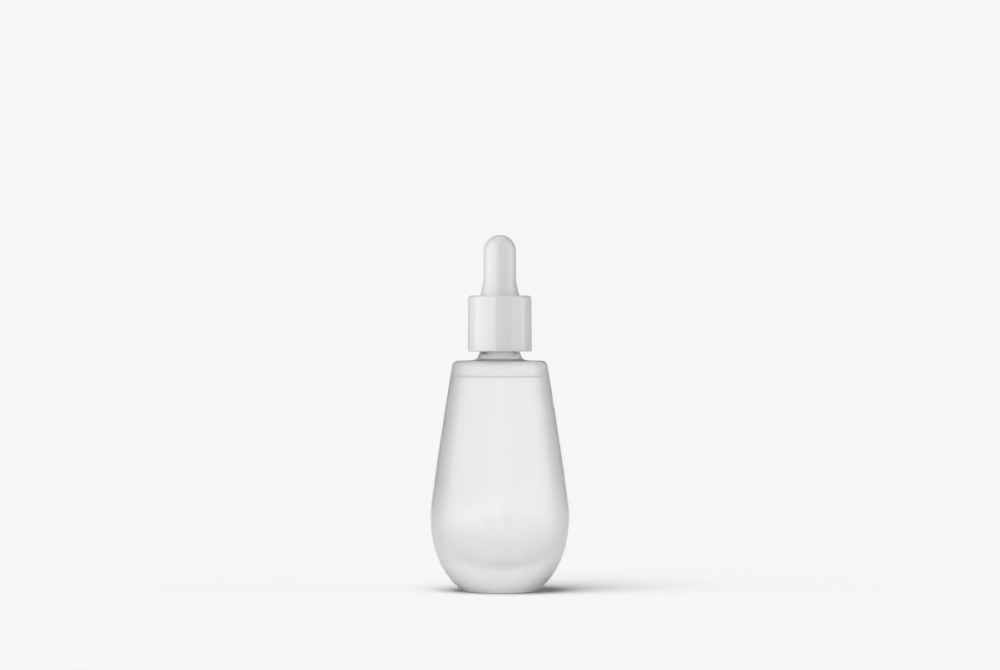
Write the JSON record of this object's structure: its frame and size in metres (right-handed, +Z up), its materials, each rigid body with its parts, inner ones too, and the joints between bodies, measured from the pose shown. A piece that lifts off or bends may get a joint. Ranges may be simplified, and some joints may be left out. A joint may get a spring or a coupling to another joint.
{
  "type": "dropper bottle",
  "caption": "Teardrop frosted glass bottle with a thick base, a smooth white screw collar and a squeezable rubber bulb on a glass pipette, for liquid foundation or serum.",
  "frame": {"origin": "centre of the base, in the plane that the bottle stands on", "axes": "+Z up along the bottle's axis, from the base to the bulb; -Y is the front"},
  "size_m": [0.0462, 0.0462, 0.1185],
  "materials": {
    "frosted_glass": "acid-etched frost outside, clear inside",
    "clear_glass": "clear, polished",
    "natural_plastic": "natural translucent polyethylene",
    "gasket_foam": "white closed-cell foam",
    "bulb_rubber": "white glossy moulded rubber",
    "insert_plastic": "white satin polypropylene",
    "collar_plastic": "white high-gloss moulding"
  },
  "bodies": {
    "bottle": {"glass_bottle": "frosted_glass", "neck_wiper": "natural_plastic"},
    "gasket": {"sealing_gasket": "gasket_foam"},
    "dropper": {"glass_pipette": "clear_glass", "pipette_holder": "natural_plastic"},
    "bulb": {"rubber_bulb": "bulb_rubber"},
    "closure": {"thread_insert": "insert_plastic", "collar_shell": "collar_plastic"}
  },
  "joints": [
    {"name": "dropper_lift", "type": "slide", "parent": "bottle", "child": "gasket", "axis": [0, 0, 1], "range_m": [0, 0.1]},
    {"name": "closure_rise", "type": "slide", "parent": "gasket", "child": "dropper", "axis": [0, 0, 1], "range_m": [0, 0.004]},
    {"name": "closure_turn", "type": "hinge", "parent": "dropper", "child": "closure", "pos_m": [0, 0, 0.09], "axis": [0, 0, 1], "range_deg": [0, 430]},
    {"name": "bulb_squeeze", "type": "slide", "parent": "dropper", "child": "bulb", "axis": [1, 0, 0], "range_m": [0, 0.0022], "stiffness_N_per_m": 1500, "deforming": ["rubber_bulb"]}
  ],
  "couplings": [
    {"joint": "closure_rise", "follows": "closure_turn", "m_per_rad": 0.00050532}
  ]
}
